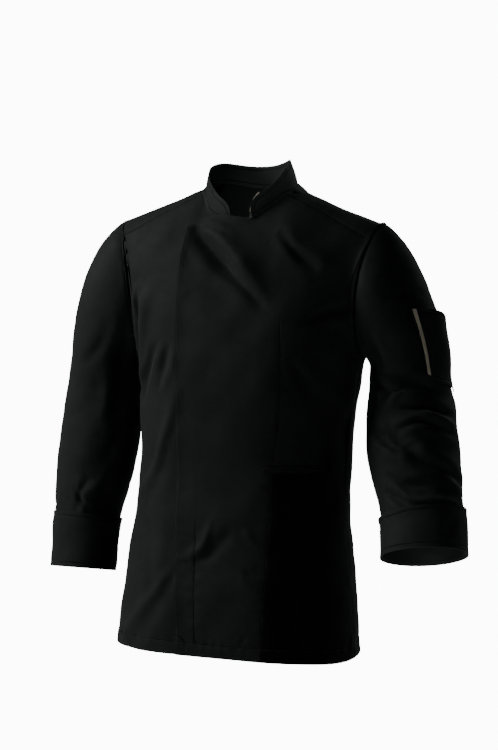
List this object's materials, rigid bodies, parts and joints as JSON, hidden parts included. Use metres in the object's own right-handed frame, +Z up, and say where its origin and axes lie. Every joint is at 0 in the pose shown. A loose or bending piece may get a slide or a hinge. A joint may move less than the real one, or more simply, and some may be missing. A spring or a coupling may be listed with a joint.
{
  "type": "chef jacket",
  "caption": "Worn chef jacket, hollow, with a stand collar, a concealed front closing that laps to one side, turned-back cuffs and a pen pocket on the sleeve.",
  "frame": {"origin": "in the neck opening, level with the nape, midway between the shoulders that carry the jacket", "axes": "+Z up, -Y towards the front of the jacket, +X towards the wearer's left"},
  "size_m": [0.7191, 0.2693, 0.7851],
  "materials": {
    "cloth": "satin",
    "cloth_inside": "matte",
    "tape": "matte",
    "label": "matte"
  },
  "bodies": {
    "root": {"front_left": "cloth", "front_right": "cloth", "back_left": "cloth", "back_centre": "cloth_inside", "back_right": "cloth", "sleeve_left": "cloth", "cuff_left": "cloth", "sleeve_right": "cloth", "cuff_right": "cloth", "collar": "cloth", "collar_piping": "tape", "neck_label": "label", "pen_pocket": "cloth", "pen_pocket_tape": "tape", "waist_pocket_welt": "cloth"}
  },
  "joints": []
}
